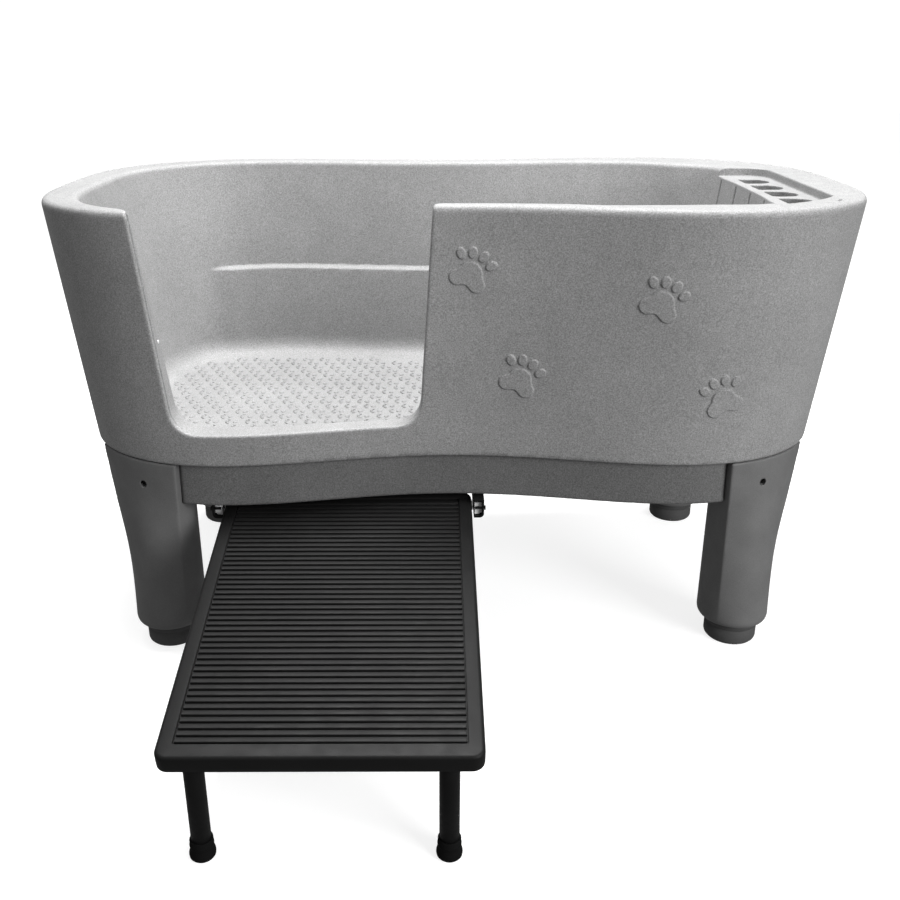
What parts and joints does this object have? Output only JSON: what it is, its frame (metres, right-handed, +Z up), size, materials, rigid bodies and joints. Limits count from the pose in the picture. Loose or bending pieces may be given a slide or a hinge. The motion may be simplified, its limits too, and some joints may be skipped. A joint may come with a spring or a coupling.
{
  "type": "pet bathtub",
  "caption": "Waisted double-walled pet bathtub on bolted corner legs, with an entry notch in its front wall and a ribbed slide-out step on folding legs.",
  "frame": {"origin": "middle of the footprint (tub and pulled-out step) on the floor", "axes": "+X along the tub to its caddy end, +Y from the step towards the tub's back wall, +Z up"},
  "size_m": [1.2639, 1.0906, 0.714],
  "materials": {
    "tub_plastic": "speckled rotomoulded polyethylene",
    "leg_plastic": "fine grained moulded plastic",
    "foot_plastic": "dark moulded plastic",
    "step_plastic": "black ribbed plastic",
    "black_steel": "black powder coat",
    "rubber": "matte black",
    "steel": "plain zinc plated or stainless",
    "brass": "plain machined",
    "white_plastic": "off-white nylon"
  },
  "bodies": {
    "tub": {"tub_shell": "tub_plastic", "vent_plug": "white_plastic", "leg_front_left": "leg_plastic", "foot_front_left": "foot_plastic", "leg_bolt_front_left": "steel", "leg_insert_front_left": "brass", "leg_front_right": "leg_plastic", "foot_front_right": "foot_plastic", "leg_bolt_front_right": "steel", "leg_insert_front_right": "brass", "leg_rear_left": "leg_plastic", "foot_rear_left": "foot_plastic", "leg_bolt_rear_left": "steel", "leg_insert_rear_left": "brass", "leg_rear_right": "leg_plastic", "foot_rear_right": "foot_plastic", "leg_bolt_rear_right": "steel", "leg_insert_rear_right": "brass", "drain_body": "steel", "drain_grate": "steel", "drain_gasket": "rubber", "drain_locknut": "white_plastic", "drain_tailpiece": "white_plastic", "rail_left": "black_steel", "stop_pin_left": "steel", "rail_right": "black_steel", "stop_pin_right": "steel", "rail_screw_left_front": "steel", "rail_screw_left_rear": "steel", "rail_screw_right_front": "steel", "rail_screw_right_rear": "steel"},
    "carriage": {"pivot_rod": "steel", "glide_shoe_left": "white_plastic", "glide_shoe_right": "white_plastic"},
    "step": {"step_deck": "step_plastic", "step_crossbar": "black_steel", "pivot_bush_left": "white_plastic", "pivot_bush_right": "white_plastic", "leg_bracket_left": "black_steel", "leg_bracket_right": "black_steel", "leg_pin_left": "steel", "leg_pin_right": "steel"},
    "step_leg_left": {"step_leg_left": "black_steel", "step_foot_left": "rubber"},
    "step_leg_right": {"step_leg_right": "black_steel", "step_foot_right": "rubber"}
  },
  "joints": [
    {"name": "step_slide", "type": "slide", "parent": "tub", "child": "carriage", "axis": [0, 1, 0], "range_m": [0, 0.46]},
    {"name": "step_tilt", "type": "hinge", "parent": "carriage", "child": "step", "pos_m": [-0.164, -0.04362, 0.246], "axis": [-1, 0, 0], "range_deg": [0, 10.46]},
    {"name": "step_leg_left_fold", "type": "hinge", "parent": "step", "child": "step_leg_left", "pos_m": [-0.316, -0.5247, 0.15007], "axis": [1, 0, 0], "range_deg": [0, 98]},
    {"name": "step_leg_right_fold", "type": "hinge", "parent": "step", "child": "step_leg_right", "pos_m": [-0.012, -0.5247, 0.15007], "axis": [1, 0, 0], "range_deg": [0, 98]}
  ]
}
